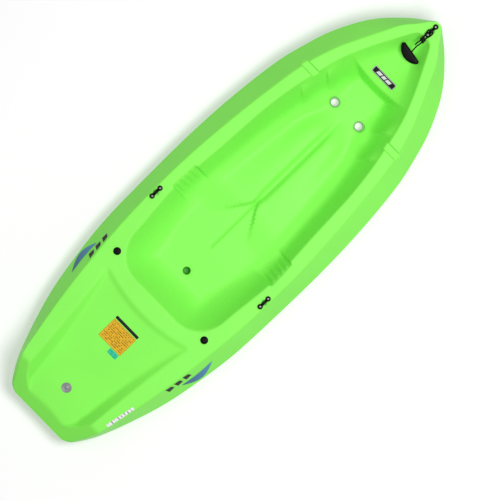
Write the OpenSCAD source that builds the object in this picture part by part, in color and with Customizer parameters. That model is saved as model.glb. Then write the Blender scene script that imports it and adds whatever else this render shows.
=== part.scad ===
// Youth sit-on-top kayak: one-piece blow-moulded hull with deck fittings.
// X runs to the bow, Y to port, Z up. The keel runners stand on Z = 0.

/* [Hull] */
// Length over all
hull_l = 1830; // [1500:10:2300]
// Beam at the widest line
hull_w = 624; // [500:4:780]
// Height of the rail amidships
rail_h = 180; // [150:2:230]
// Thickness of the moulded wall
wall_t = 3.2; // [2.4:0.1:4.5]

/* [Scuppers] */
// Diameter of each drain hole
scupper_d = 26; // [20:0.5:31.5]
// Diameter of the countersunk mouth
scupper_mouth_d = 36; // [30:0.5:44]
// Wall left round each moulded-in tube
tube_wall = 4; // [2.5:0.1:6]

/* [Pad eyes] */
// Distance between the two screws
eye_pitch = 36; // [30:0.5:44]
// Diameter of the round ends
eye_end_d = 18; // [15:0.5:22]
// Thickness of the round ends
eye_t = 3.2; // [2.5:0.1:5]
// Width of the bridge
bridge_w = 9; // [7:0.5:11]
// Height of the bridge above the deck
bridge_h = 13; // [10.5:0.5:18]
// Diameter of the screw thread
screw_d = 5; // [4:0.1:6]
// Length of the screw under its head
screw_l = 20; // [16:0.5:28]
// Outer diameter of the insert behind each screw
insert_d = 9.5; // [7.9:0.1:12]

/* [Deck plugs] */
// Diameter of the socket's flange
socket_d = 26; // [24:0.5:34]
// Diameter of the plug's head
plug_d = 19; // [17:0.5:22.5]
// Outer diameter of the plug's thread
plug_thread_d = 13; // [10.8:0.2:15.6]
// Length of the plug's threaded shank
plug_l = 12; // [9:0.5:18]

/* [Toggle] */
// Length of the grip
grip_l = 98; // [80:1:100]
// Width of the grip at its middle
grip_w = 34; // [28:1:40]
// Thickness of the grip
grip_t = 18; // [14:1:19]
// Diameter of the cord
cord_d = 4.5; // [3.7:0.1:5.4]

/* [Hidden] */

// Clearance between pieces that turn in each other
run_gap = 0.1;
eps = 0.01;

// The hull's lines are drawn at 1830 x 624 x 180 and scaled to the driving sizes.
base_l = 1830;
base_w = 624;
base_rail = 180;
kx = hull_l / base_l;
ky = hull_w / base_w;
kz = rail_h / base_rail;

// Half-breadths along the hull, from the transom: widest line, rail's outer
// crease, and inner edge of the rail round the tray and the cockpit
WIDEST = [[0, 108], [8, 127], [20, 141], [46, 159], [92, 185], [185, 221], [320, 262], [460, 288],
    [600, 305], [780, 311], [1000, 312], [1190, 303], [1370, 283], [1465, 261], [1556, 233],
    [1647, 190], [1700, 155], [1740, 120], [1784, 74], [1815, 34], [1830, 11]];
CREASE = [[0, 100], [60, 150], [105, 178], [200, 199], [300, 218], [400, 233], [510, 246],
    [620, 256], [730, 262], [840, 264], [950, 262], [1055, 256], [1165, 247], [1275, 235],
    [1380, 221], [1450, 206], [1500, 191], [1550, 173], [1600, 150], [1680, 112],
    [1740, 82], [1780, 50], [1815, 24], [1830, 9]];
INNER = [[0, 96], [60, 136], [100, 142], [200, 151], [300, 161], [400, 172], [500, 186],
    [542, 196], [600, 200], [650, 205], [700, 209], [760, 215], [840, 221], [950, 216],
    [1050, 209], [1150, 204], [1250, 197], [1350, 183], [1450, 162], [1500, 150],
    [1550, 134], [1600, 113], [1640, 94], [1700, 63], [1740, 42], [1768, 26],
    [1800, 16], [1830, 6]];
// Heights: rail top, widest line, keel line
RAIL_Z = [[0, 170], [500, 176], [900, 180], [1300, 190], [1600, 206], [1770, 220], [1830, 221]];
WIDEST_Z = [[0, 88], [500, 86], [1000, 90], [1400, 102], [1650, 126], [1830, 168]];
KEEL_Z = [[0, 30], [60, 22], [200, 12], [400, 9], [900, 9], [1200, 9], [1400, 18],
    [1550, 40], [1680, 74], [1760, 108], [1830, 152]];
// Fullness of the bottom's cross-section: high is flat with a tight bilge
FULL = [[0, 4], [300, 5], [1100, 5], [1500, 3], [1830, 1.5]];
// Cockpit floor on the centre line, half-width of its flat, slope beyond the
// flat, steepness of the wall, and rounding where wall meets floor
FLOOR_Z = [[540, 68], [620, 63], [700, 60], [800, 59], [1000, 56], [1200, 51], [1415, 45],
    [1480, 46], [1530, 50]];
FLAT_Y = [[540, 110], [700, 120], [900, 128], [1050, 122], [1210, 106], [1300, 94],
    [1400, 60], [1540, 58]];
SIDE_K = [[540, 0.30], [760, 0.30], [950, 0.34], [1100, 0.46], [1300, 0.55], [1540, 0.5]];
WALL_K = [[540, 1.55], [640, 1.8], [800, 2.1], [1000, 2.3], [1400, 2.2], [1600, 1.9],
    [1800, 1.8]];
ROUND_R = [[540, 100], [700, 80], [860, 44], [950, 27], [1050, 24], [1300, 22], [1500, 26],
    [1800, 22]];
BOW_Z = [[1530, 106], [1560, 116], [1650, 142], [1720, 158], [1780, 172], [1830, 180]];
// Steepness of the stern tray's walls
TRAY_K = [[0, 1.4], [100, 1.35], [300, 0.95], [480, 0.8]];
// Leg mounds on the floor: inner edge and the width of its flank
MOUND_Y = [[880, 82], [900, 70], [945, 42], [990, 17], [1040, 21], [1300, 21], [1400, 16]];
MOUND_W = [[880, 9], [980, 10], [1010, 19], [1400, 19]];
MOUND_DIP = [[900, 0], [1000, 0.1], [1150, 0.45], [1300, 1], [1400, 1]];

// Places on the drawn hull
tray_x = 478;
cockpit_x = 542;
cockpit_end_x = 1766;
bulkhead_x = 1526;
notch_x = 1430;
notch_half = 11;
notch_deep = 10;
grip_pocket_x = 892;
pocket_half = 46;
scupper_x = 1415;
scupper_y = 55.5;
dimple_x = 680;
eye_x = 789;
eye_y = 252;
bow_eye_x = 1796;
plug_x = 564;
plug_y = 203;

// --- small maths -----------------------------------------------------------
function clamp01(t) = min(1, max(0, t));
function ease(a, b, x) = let (t = clamp01((x - a) / (b - a))) t * t * (3 - 2 * t);
function soft_min(a, b, k) =
    let (h = clamp01(0.5 + 0.5 * (b - a) / k)) b + (a - b) * h - k * h * (1 - h);
function soft_max(a, b, k) = -soft_min(-a, -b, k);
function plateau(d, half, flank) = ease(-half - flank, -half, d) * (1 - ease(half, half + flank, d));
// distance inside a corner of radius r, from the distances to its two sides
function corner(a, b, r) =
    a < r && b < r ? r - sqrt(pow(max(r - a, 0), 2) + pow(max(r - b, 0), 2)) : min(a, b);
// smooth curve through a table of points
function tangent(t, i) =
    let (a = max(i - 1, 0), b = min(i + 1, len(t) - 1)) (t[b][1] - t[a][1]) / (t[b][0] - t[a][0]);
function span(t, x, i = 0) = i >= len(t) - 2 || x < t[i + 1][0] ? i : span(t, x, i + 1);
function curve(t, x0) =
    let (x = min(max(x0, t[0][0]), t[len(t) - 1][0]),
         i = span(t, x),
         h = t[i + 1][0] - t[i][0],
         s = (x - t[i][0]) / h)
    (2 * s * s * s - 3 * s * s + 1) * t[i][1] + (s * s * s - 2 * s * s + s) * h * tangent(t, i)
    + (3 * s * s - 2 * s * s * s) * t[i + 1][1] + (s * s * s - s * s) * h * tangent(t, i + 1);
function cos_slope(t, x) = let (d = (curve(t, x + 2) - curve(t, x - 2)) / 4) 1 / sqrt(1 + d * d);

// --- the hull's surface ----------------------------------------------------
// All values that depend on the station alone, worked out once for each station
function station(x) = [
    curve(WIDEST, x), curve(CREASE, x), curve(INNER, x), curve(RAIL_Z, x), curve(WIDEST_Z, x),
    curve(FLOOR_Z, x), curve(FLAT_Y, x), curve(SIDE_K, x), curve(WALL_K, x), curve(ROUND_R, x),
    curve(MOUND_Y, x), curve(MOUND_W, x), curve(MOUND_DIP, x), curve(BOW_Z, x),
    cos_slope(INNER, x), curve(KEEL_Z, x), curve(FULL, x),
    curve(TRAY_K, x)];
// A foot rest: a step in the side wall along a line from its outer to its inner end,
// steep towards the stern and fading towards the bow
step_h = 24;
step_rise = 10;
step_fade = 60;
step_below_rail = 34;
function foot_step(x, y, ax, ay, bx, by) =
    let (dx = bx - ax, dy = by - ay, n = sqrt(dx * dx + dy * dy),
         t = ((x - ax) * dx + (y - ay) * dy) / n / n,
         q = ((x - ax) * -dy + (y - ay) * dx) / n)
    step_h * ease(-step_rise, 0, q) * (1 - ease(0, step_fade, q)) * (1 - ease(0.4, 1.15, t));
function foot_steps(x, y) =
    foot_step(x, y, 1384, 182, 1336, 126) + foot_step(x, y, 1474, 152, 1430, 98);
mound_h = 16;
function mound(x, y, s) =
    mound_h * ease(862, 985, x) * (1 - ease(1290, 1400, x)) * ease(s[10] - s[11], s[10], y)
    * (1 - s[12] * ease(0.25, 1, (y - s[10]) / max(s[6] - s[10], 5)));
function seat_floor(x, y, s) =
    s[5] + s[7] * (sqrt(pow(max(y - s[6], 0), 2) + 36) - 6) + mound(x, y, s);
function past_bulkhead(x, y) = ease(bulkhead_x, bulkhead_x + 26, x - 0.0006 * y * y);
function cockpit_floor(x, y, s) =
    let (k = past_bulkhead(x, y))
    seat_floor(x, y, s) * (1 - k) + (s[13] + 0.0042 * y * y) * k;
function cockpit(x, y, s) =
    let (side = (s[2] + 9 * plateau(x - grip_pocket_x, pocket_half, 8) - y) * s[14],
         d = corner(corner(side, x - cockpit_x, 100), cockpit_end_x - x, 14))
    soft_max(cockpit_floor(x, y, s), s[3] - s[8] * d, s[9])
    + foot_steps(x, y) * (1 - past_bulkhead(x, y)) * ease(0, step_below_rail, d);
tray_aft_z = 118;
tray_rise = 0.115;
function tray(x, y, s) =
    let (side = (s[2] - y) * s[14], front = tray_x + 27 * pow(y / 178, 2) - x,
         d = corner(side, front, 14))
    soft_max(tray_aft_z + (x - 45) * tray_rise, s[3] - s[17] * d, 9);
transom_k = 0.8;
function transom_x(y) = 6 * pow(max(0, 1 - pow(y / 95, 2)), 2);
function deck(x, y, s) =
    let (rail = s[3] - notch_deep * plateau(x - notch_x, notch_half, 4),
         side = s[4] + (s[3] - s[4]) * (s[0] - y) / (s[0] - s[1]),
         stern = s[4] + transom_k * (x - transom_x(y)))
    soft_min(soft_min(side, stern, 14),
        soft_min(soft_min(rail, cockpit(x, y, s), 7), tray(x, y, s), 5), 5);
function bottom(y, s) = s[15] + (s[4] - s[15]) * pow(min(1, abs(y) / s[0]), s[16]);
function runner_on(x) = ease(50, 180, x) * (1 - ease(1250, 1420, x));

// --- rings of points -------------------------------------------------------
STATIONS = [0, 8, 20, 40, 60, 80, 104, 140, 200, 260, 330, 400, 450, 470, 481, 492, 504, 522,
    542, 554, 570, 592, 620, 660, 720, 780, 838, 847, 892, 938, 947, 990, 1050, 1120, 1190,
    1250, 1300, 1328, 1350, 1376, 1400, 1415, 1420, 1440, 1446, 1470, 1500, 1526, 1540, 1556,
    1600, 1650, 1700, 1735, 1758, 1770, 1790, 1810, 1830];
IN_FRACS = [0, 0.05, 0.11, 0.2, 0.3, 0.42, 0.54, 0.64, 0.73, 0.81, 0.88, 0.945, 1];
RAIL_FRACS = [0.15, 0.5, 0.85, 1];
SIDE_FRACS = [0.14, 0.5, 1];
KEEL_FRACS = [0.975, 0.9, 0.77, 0.6, 0.45, 0.43, 0.31, 0.29, 0.14, 0];
SOLE = [5, 6];
function half_ys(s) = concat(
    [for (f = IN_FRACS) f * s[2]],
    [for (f = RAIL_FRACS) s[2] + f * (s[1] - s[2])],
    [for (f = SIDE_FRACS) s[1] + f * (s[0] - s[1])]);
function half_ring(x) =
    let (s = station(x), ys = half_ys(s), n = len(ys) - 1)
    concat(
        [for (i = [0:n]) [x, ys[i], i == n ? s[4] : deck(x, ys[i], s)]],
        [for (i = [0:len(KEEL_FRACS) - 1])
            let (y = KEEL_FRACS[i] * s[0], z = bottom(y, s), on = runner_on(x),
                 sole = i == SOLE[0] || i == SOLE[1])
            [x, y, sole ? z * (1 - on) : z]]);
function full_ring(half) =
    concat(half, [for (i = [len(half) - 2:-1:1]) [half[i][0], -half[i][1], half[i][2]]]);

// The void inside: the same surfaces drawn in by the wall. Each point keeps under the
// deck half-way to the stations next to it, so that no step in the deck breaks through.
VOID_STATIONS = [for (x = STATIONS) if (x > 7 && x < 1795) x];
VOID_FRACS = [0, 0.11, 0.3, 0.42, 0.54, 0.64, 0.73, 0.81, 0.88, 0.945, 1];
VOID_KEEL_FRACS = [0.9, 0.75, 0.5, 0.25, 0];
edge_t = 7;
function void_top(x, y, before, after) =
    let (rx = 0.75 * wall_t / kx, ry = 0.75 * wall_t / ky)
    min([for (dx = [-before / 2, -rx, 0, rx, after / 2]) let (s = station(x + dx))
        min(deck(x + dx, y, s), deck(x + dx, y + ry, s), deck(x + dx, abs(y - ry), s))])
    - wall_t / kz;
function void_ys(s) =
    let (w = s[0] - edge_t / ky, crease = min(s[1], w - 5), inner = min(s[2], crease - 5))
    concat([for (f = VOID_FRACS) f * inner], [(inner + crease) / 2, crease, (crease + w) / 2, w]);
function void_half(i) =
    let (x = VOID_STATIONS[i], s = station(x), ys = void_ys(s), n = len(ys) - 1, mid = s[4] + 1,
         before = x - VOID_STATIONS[max(i - 1, 0)],
         after = VOID_STATIONS[min(i + 1, len(VOID_STATIONS) - 1)] - x,
         floor_t = wall_t / kz)
    concat(
        [for (k = [0:n - 1]) [x, ys[k], max(void_top(x, ys[k], before, after), s[15] + 9)]],
        [[x, ys[n], mid]],
        [for (f = VOID_KEEL_FRACS)
            [x, f * ys[n], min(bottom(f * ys[n] + 2, s) + floor_t, mid - 2)]]);

// Places on the hull at the driving sizes
function at_x(x) = x * kx - hull_l / 2;
function at(p) = [at_x(p[0]), p[1] * ky, p[2] * kz];
function rail_at(x) = curve(RAIL_Z, x) * kz;
function deck_at(x, y) = deck(x, y, station(x)) * kz;

// A closed skin over rings, with a fan over each end
module skin(rings) {
    n = len(rings[0]);
    m = len(rings);
    low = rings[0];
    high = rings[m - 1];
    pts = concat([for (r = rings) for (p = r) at(p)],
        [at([low[0][0], 0, (low[0][2] + low[n / 2][2]) / 2])],
        [at([high[0][0], 0, (high[0][2] + high[n / 2][2]) / 2])]);
    sides = [for (j = [0:m - 2]) for (i = [0:n - 1])
        let (a = j * n + i, b = j * n + (i + 1) % n, flip = i >= n / 2)
        each flip ? [[a, b, a + n], [b, b + n, a + n]] : [[a, b + n, a + n], [a, b, b + n]]];
    ends = [for (i = [0:n - 1]) each [[m * n, (i + 1) % n, i],
        [m * n + 1, (m - 1) * n + i, (m - 1) * n + (i + 1) % n]]];
    polyhedron(points = pts, faces = concat(sides, ends));
}

// --- shared fitting shapes -------------------------------------------------
pad_rise = 0.8;
pad_margin = 1.5;
boss_wall = 3;
insert_l = 16;
insert_drop = 0.3;
screw_head_d = 9;
screw_head_h = 2.6;
pocket_deep = screw_l + 4;
EYES = [
    [[eye_x, eye_y], rail_at(eye_x) + pad_rise],
    [[eye_x, -eye_y], rail_at(eye_x) + pad_rise],
    [[bow_eye_x, 0], rail_at(bow_eye_x) + pad_rise]];
PLUGS = [[plug_x, plug_y], [plug_x, -plug_y]];
socket_t = 2.4;
barrel_d = plug_thread_d + 4;
barrel_l = plug_l + 4;
plug_seat = rail_at(plug_x) + 0.4;

module to_eye(i) {
    translate([at_x(EYES[i][0][0]), EYES[i][0][1] * ky, EYES[i][1]])
        children();
}
module to_plug(i) {
    translate([at_x(PLUGS[i][0]), PLUGS[i][1] * ky, plug_seat])
        children();
}
module each_screw() {
    for (s = [-1, 1])
        translate([s * eye_pitch / 2, 0, 0])
            children();
}

// --- hull ------------------------------------------------------------------
// Flat pad and bosses that the moulding stands under each pad eye
module eye_pad() {
    r = eye_end_d / 2 + pad_margin;
    translate([0, 0, -14]) {
        each_screw()
            cylinder(r = r, h = 14, $fn = 48);
        translate([-eye_pitch / 2, -r, 0])
            cube([eye_pitch, 2 * r, 14]);
    }
}
module eye_boss() {
    each_screw()
        translate([0, 0, -pocket_deep - boss_wall])
            cylinder(d = insert_d + 2 * boss_wall, h = pocket_deep + boss_wall, $fn = 48);
}
module eye_cuts() {
    each_screw()
        translate([0, 0, -pocket_deep])
            cylinder(d = insert_d, h = pocket_deep + 1, $fn = 48);
    // dimple under the bridge, for fingers and rope
    translate([0, 0, 11])
        rotate([90, 0, 0])
            cylinder(r = 14, h = 80, center = true, $fn = 64);
}
module scupper(side, r, low, high) {
    translate([at_x(scupper_x), side * scupper_y * ky, low])
        cylinder(r = r, h = high - low, $fn = 64);
}
scupper_deck = 41 * kz;
dimple_deck = 60.5 * kz;
dimple_d = 28;
dimple_floor = 19;
module hull_void() {
    difference() {
        skin([for (i = [0:len(VOID_STATIONS) - 1]) full_ring(void_half(i))]);
        for (s = [-1, 1])
            scupper(s, scupper_mouth_d / 2 + tube_wall, -1, 80 * kz);
        translate([at_x(dimple_x), 0, -1])
            cylinder(d = dimple_d + 2 * tube_wall, h = 80 * kz, $fn = 64);
        for (i = [0:2])
            to_eye(i)
                eye_boss();
        for (i = [0:1])
            to_plug(i)
                translate([0, 0, -barrel_l - 2])
                    cylinder(d = barrel_d + 2 * boss_wall, h = barrel_l + 2, $fn = 64);
    }
}
module hull_shell() {
    color("yellowgreen")
        difference() {
            union() {
                skin([for (x = STATIONS) full_ring(half_ring(x))]);
                for (i = [0:2])
                    to_eye(i)
                        eye_pad();
                for (i = [0:1])
                    to_plug(i)
                        translate([0, 0, -6])
                            cylinder(d = socket_d + 2, h = 6, $fn = 64);
            }
            hull_void();
            for (i = [0:2])
                to_eye(i)
                    eye_cuts();
            for (i = [0:1])
                to_plug(i)
                    translate([0, 0, -barrel_l - 6])
                        cylinder(d = barrel_d, h = barrel_l + 10, $fn = 64);
            for (s = [-1, 1]) {
                scupper(s, scupper_d / 2, -5, 100 * kz);
                // flat countersunk seat round the mouth
                scupper(s, scupper_mouth_d / 2, scupper_deck, 100 * kz);
            }
            translate([at_x(dimple_x), 0, dimple_floor * kz])
                cylinder(d1 = dimple_d - 8, d2 = dimple_d, h = dimple_deck - dimple_floor * kz, $fn = 64);
            translate([at_x(dimple_x), 0, dimple_deck - eps])
                cylinder(d = dimple_d, h = 20, $fn = 64);
        }
}

// --- pad eyes --------------------------------------------------------------
module pad_eye() {
    h = bridge_h;
    k = eye_pitch / 2;
    // half-width of the rope's gap under the bridge
    g = 0.9 * cord_d;
    leg = [[k - 4, 0], [k - 4, eye_t], [k - 7.5, eye_t + 1], [g + 3, h - 1.2], [g + 1, h]];
    throat = [[g, h - 4], [g + 1.2, h - 4.6], [k - 9, 0]];
    difference() {
        union() {
            each_screw()
                cylinder(d = eye_end_d, h = eye_t, $fn = 64);
            translate([0, bridge_w / 2, 0])
                rotate([90, 0, 0])
                    linear_extrude(height = bridge_w)
                        polygon(concat([for (p = leg) [-p[0], p[1]]],
                            [for (i = [len(leg) - 1:-1:0]) leg[i]],
                            [for (i = [2:-1:0]) throat[i]],
                            [for (p = throat) [-p[0], p[1]]]));
        }
        each_screw()
            translate([0, 0, -1])
                cylinder(d = screw_d + 0.5, h = eye_t + 2, $fn = 48);
        each_screw()
            translate([0, 0, eye_t])
                cylinder(d = screw_head_d + 0.6, h = h, $fn = 48);
    }
}
module pad_eye_screws() {
    each_screw()
        difference() {
            union() {
                translate([0, 0, eye_t - screw_l])
                    cylinder(d = screw_d, h = screw_l, $fn = 48);
                translate([0, 0, eye_t])
                    cylinder(d = screw_head_d, h = screw_head_h * 0.5, $fn = 48);
                translate([0, 0, eye_t + screw_head_h * 0.5])
                    cylinder(d1 = screw_head_d, d2 = screw_head_d * 0.62, h = screw_head_h * 0.5, $fn = 48);
            }
            for (a = [0, 90])
                rotate([0, 0, a])
                    translate([-2.3, -0.5, eye_t + screw_head_h - 1.5])
                        cube([4.6, 1, 4]);
        }
}
module inserts() {
    each_screw()
        translate([0, 0, -insert_l - insert_drop])
            difference() {
                cylinder(d = insert_d, h = insert_l, $fn = 48);
                translate([0, 0, -1])
                    cylinder(d = screw_d + run_gap, h = insert_l + 2, $fn = 48);
            }
}
module bow_pad_eye() { color("#202224") to_eye(2) pad_eye(); }
module bow_pad_eye_screws() { color("silver") to_eye(2) pad_eye_screws(); }
module bow_inserts() { color("#3a3a3a") to_eye(2) inserts(); }
module left_pad_eye() { color("#202224") to_eye(0) pad_eye(); }
module left_pad_eye_screws() { color("silver") to_eye(0) pad_eye_screws(); }
module left_inserts() { color("#3a3a3a") to_eye(0) inserts(); }
module right_pad_eye() { color("#202224") to_eye(1) pad_eye(); }
module right_pad_eye_screws() { color("silver") to_eye(1) pad_eye_screws(); }
module right_inserts() { color("#3a3a3a") to_eye(1) inserts(); }

// --- carry toggle ----------------------------------------------------------
// The cord's route from the bow pad eye's centre: its loose tail, through the knot,
// round under the bridge, back through the knot, and down into the grip
CORD = [[-70, 6, -2], [-60, 6, 5], [-51, 4, 9], [-42, 3, 10], [-32, 4.5, 9.5], [-20, 7.6, 8.5],
    [-12, 8.9, 7.4], [-8, 9.1, 6.6], [-4.2, 8.2, 5.7], [-0.8, 5.4, 4.4], [1, 0, 3.9],
    [-0.8, -5.4, 4.4], [-4.2, -8.2, 5.7], [-8, -9.1, 6.6], [-12, -8.9, 7.4], [-20, -7.6, 8.5],
    [-32, -4.5, 9.5], [-42, -3, 10], [-51, -3.5, 9], [-60, -3, 4], [-70, -1, -6],
    [-80, -1.5, -16], [-90, -2.2, -24], [-100, -2, -28.5], [-108, -1.5, -30.5]];
knot_x = -41;
knot_z = 9.6;
knot_d = 21;
knot_l = 20;
GRIP_AT = [-107, -1.2, -29.2];
grip_yaw = 9;
grip_round = 8;
grip_tilt = -14;
function unit(v) = v / norm(v);
function along(p, i) = unit(p[min(i + 1, len(p) - 1)] - p[max(i - 1, 0)]);
// One tube swept through points
module tube(p, r, sides) {
    rings = [for (i = [0:len(p) - 1])
        let (t = along(p, i), u = unit(cross(t, [0.13, 0.2, 1])), v = cross(u, t))
        for (k = [0:sides - 1])
            let (a = 360 * k / sides) p[i] + r * (cos(a) * u + sin(a) * v)];
    m = len(p);
    faces = [for (j = [0:m - 2]) for (k = [0:sides - 1])
        let (a = j * sides + k, b = j * sides + (k + 1) % sides)
        each [[a, b, b + sides], [a, b + sides, a + sides]]];
    polyhedron(points = rings, faces = concat(faces,
        [[for (k = [sides - 1:-1:0]) k]], [[for (k = [0:sides - 1]) (m - 1) * sides + k]]));
}
module toggle_cord() {
    color("#1c1c1e")
        to_eye(2)
            tube(CORD, cord_d / 2, 8);
}
module toggle_knot() {
    color("#1c1c1e")
        to_eye(2)
            translate([knot_x, 0, knot_z])
                rotate([0, 90, 0])
                    rotate_extrude($fn = 48)
                        polygon([[0, -knot_l / 2], [knot_d * 0.36, -knot_l / 2], [knot_d / 2, -knot_l * 0.32],
                            [knot_d / 2, knot_l * 0.2], [knot_d * 0.36, knot_l / 2], [0, knot_l / 2]]);
}
module grip_outline() {
    r = (pow(grip_l / 2, 2) + pow(grip_w, 2)) / (2 * grip_w);
    offset(r = grip_round)
        offset(delta = -grip_round)
            intersection() {
                translate([r - grip_w / 2, 0])
                    circle(r = r, $fn = 96);
                translate([-grip_w, -grip_l])
                    square([grip_w * 1.5 - 1.5, 2 * grip_l]);
            }
}
module toggle_grip() {
    tunnel_d = 2 * cord_d;
    color("#18181a")
        to_eye(2)
            translate(GRIP_AT)
                rotate([0, grip_tilt, -grip_yaw])
                    difference() {
                        translate([0, 0, -grip_t / 2])
                            linear_extrude(height = grip_t)
                                grip_outline();
                        // cord tunnel, which the stopper knot seats in
                        translate([-10, 0, 0])
                            rotate([0, 90, 0])
                                cylinder(d = tunnel_d, h = grip_w, $fn = 48);
                    }
}

// --- deck plugs ------------------------------------------------------------
seal_floor = 0.8;
module plug_socket() {
    difference() {
        union() {
            cylinder(d = socket_d, h = socket_t, $fn = 64);
            translate([0, 0, -barrel_l])
                cylinder(d = barrel_d, h = barrel_l, $fn = 64);
        }
        translate([0, 0, -barrel_l - 1])
            cylinder(d = plug_thread_d + 2 * run_gap, h = barrel_l + 10, $fn = 64);
        translate([0, 0, seal_floor])
            cylinder(d = plug_d + 1, h = socket_t, $fn = 64);
    }
}
module plug() {
    low = seal_floor + 2;
    difference() {
        union() {
            translate([0, 0, low - plug_l])
                cylinder(d = plug_thread_d, h = plug_l, $fn = 64);
            translate([0, 0, low])
                cylinder(d = plug_d, h = 2, $fn = 64);
            translate([0, 0, low + 2])
                cylinder(d1 = plug_d, d2 = plug_d - 2.4, h = 1.2, $fn = 64);
        }
        // four-lobed recess for fingers or a coin
        for (a = [0:90:270])
            rotate([0, 0, a])
                translate([3.6, 0, low + 0.8])
                    cylinder(d = 5, h = 4, $fn = 32);
    }
}
module plug_seal() {
    room = (plug_d - plug_thread_d) / 2;
    translate([0, 0, seal_floor + 1])
        rotate_extrude($fn = 64)
            translate([(plug_thread_d + room) / 2, 0])
                circle(d = min(1.6, room - 0.8), $fn = 24);
}
module left_plug_socket() { color("#222426") to_plug(0) plug_socket(); }
module left_plug() { color("#101012") to_plug(0) plug(); }
module left_plug_seal() { color("#404448") to_plug(0) plug_seal(); }
module right_plug_socket() { color("#222426") to_plug(1) plug_socket(); }
module right_plug() { color("#101012") to_plug(1) plug(); }
module right_plug_seal() { color("#404448") to_plug(1) plug_seal(); }

// --- labels and graphics ---------------------------------------------------
// A thin film on the deck: columns of [x, lower y, upper y], in nv strips
module film(cols, nv, lift, t) {
    n = nv + 1;
    m = len(cols);
    flat = [for (c = cols) for (k = [0:nv])
        let (y = c[1] + (c[2] - c[1]) * k / nv) [at_x(c[0]), y * ky, deck_at(c[0], abs(y)) + lift]];
    pts = concat(flat, [for (p = flat) p + [0, 0, t]]);
    q = n * m;
    quads = [for (j = [0:m - 2]) for (k = [0:nv - 1])
        let (a = j * n + k, b = a + 1, c = a + n, d = c + 1)
        each [[a, c, b], [b, c, d], [q + a, q + b, q + c], [q + b, q + d, q + c]]];
    rims = [for (j = [0:m - 2])
        let (a = j * n, c = a + n, b = a + nv, d = c + nv)
        each [[a, q + a, c], [c, q + a, q + c], [b, d, q + b], [d, q + d, q + b]]];
    tips = [for (k = [0:nv - 1])
        let (a = k, b = k + 1, c = (m - 1) * n + k, d = c + 1)
        each [[a, b, q + a], [b, q + b, q + a], [c, q + c, d], [d, q + c, q + d]]];
    polyhedron(points = pts, faces = concat(quads, rims, tips));
}
film_lift = 0.35;
film_t = 0.4;
// the outer walls are steep, so a film's height there is taken up the slope
wall_lift = 0.8;
wall_film_t = 0.8;
module bow_plate() {
    color("#151518")
        film([[1571, -44, 44], [1575, -48, 48], [1590, -48, 48], [1594, -44, 44]], 8, film_lift, film_t);
}
module deck_label() {
    color("orange")
        film([[330, -48, 52], [405, -48, 52]], 2, film_lift, film_t);
}
module deck_label_bar() {
    color("#151518")
        film([[408, -48, 52], [418, -48, 52]], 2, film_lift, film_t);
}
module small_label() {
    color("turquoise")
        film([[310, -45, -8], [328, -45, -8]], 1, film_lift, film_t);
}
module round_badge() {
    color("gray")
        translate([at_x(133), 0, deck_at(133, 0) + film_lift])
            rotate([0, -atan(tray_rise * kz / kx), 0])
                cylinder(d = 34, h = 0.8, $fn = 64);
}
module serial_strip() {
    color("white")
        film([[141, -187, -176.5], [175, -194, -183.5], [210, -201, -190.5], [245, -206, -195.5]], 1,
            wall_lift, film_t);
}
wave_n = 12;
module side_wave(side) {
    cols = [for (i = [0:wave_n])
        let (u = i / wave_n, x = 410 + 124 * u, low = 257 + 12 * u + 3 * sin(180 * u),
             high = low + 1 + 17 * sin(180 * u))
        side > 0 ? [x, low, high] : [x, -high, -low]];
    color("royalblue")
        film(cols, 2, wall_lift, wall_film_t);
}
module side_marks(side, x0) {
    color("#151518")
        for (i = [0:2])
            let (x = x0 + 34 * i, y = curve(CREASE, x) + 4)
            film([for (k = [0:3]) let (y0 = y + 1.5 * k)
                side > 0 ? [x + 8 * k, y0, y0 + 13] : [x + 8 * k, -y0 - 13, -y0]], 2,
                wall_lift, wall_film_t);
}
module left_wave_graphic() { side_wave(1); }
module right_wave_graphic() { side_wave(-1); }
module left_side_marks() { side_marks(1, 484); }
module right_side_marks() { side_marks(-1, 359); }

hull_shell();
bow_pad_eye();
bow_pad_eye_screws();
bow_inserts();
left_pad_eye();
left_pad_eye_screws();
left_inserts();
right_pad_eye();
right_pad_eye_screws();
right_inserts();
toggle_cord();
toggle_knot();
toggle_grip();
left_plug_socket();
left_plug();
left_plug_seal();
right_plug_socket();
right_plug();
right_plug_seal();
bow_plate();
deck_label();
deck_label_bar();
small_label();
round_badge();
serial_strip();
left_wave_graphic();
right_wave_graphic();
left_side_marks();
right_side_marks();
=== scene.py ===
"""Youth sit-on-top kayak: hull skin, fittings, toggle, plugs and labels round the CAD frame."""
import math

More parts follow.
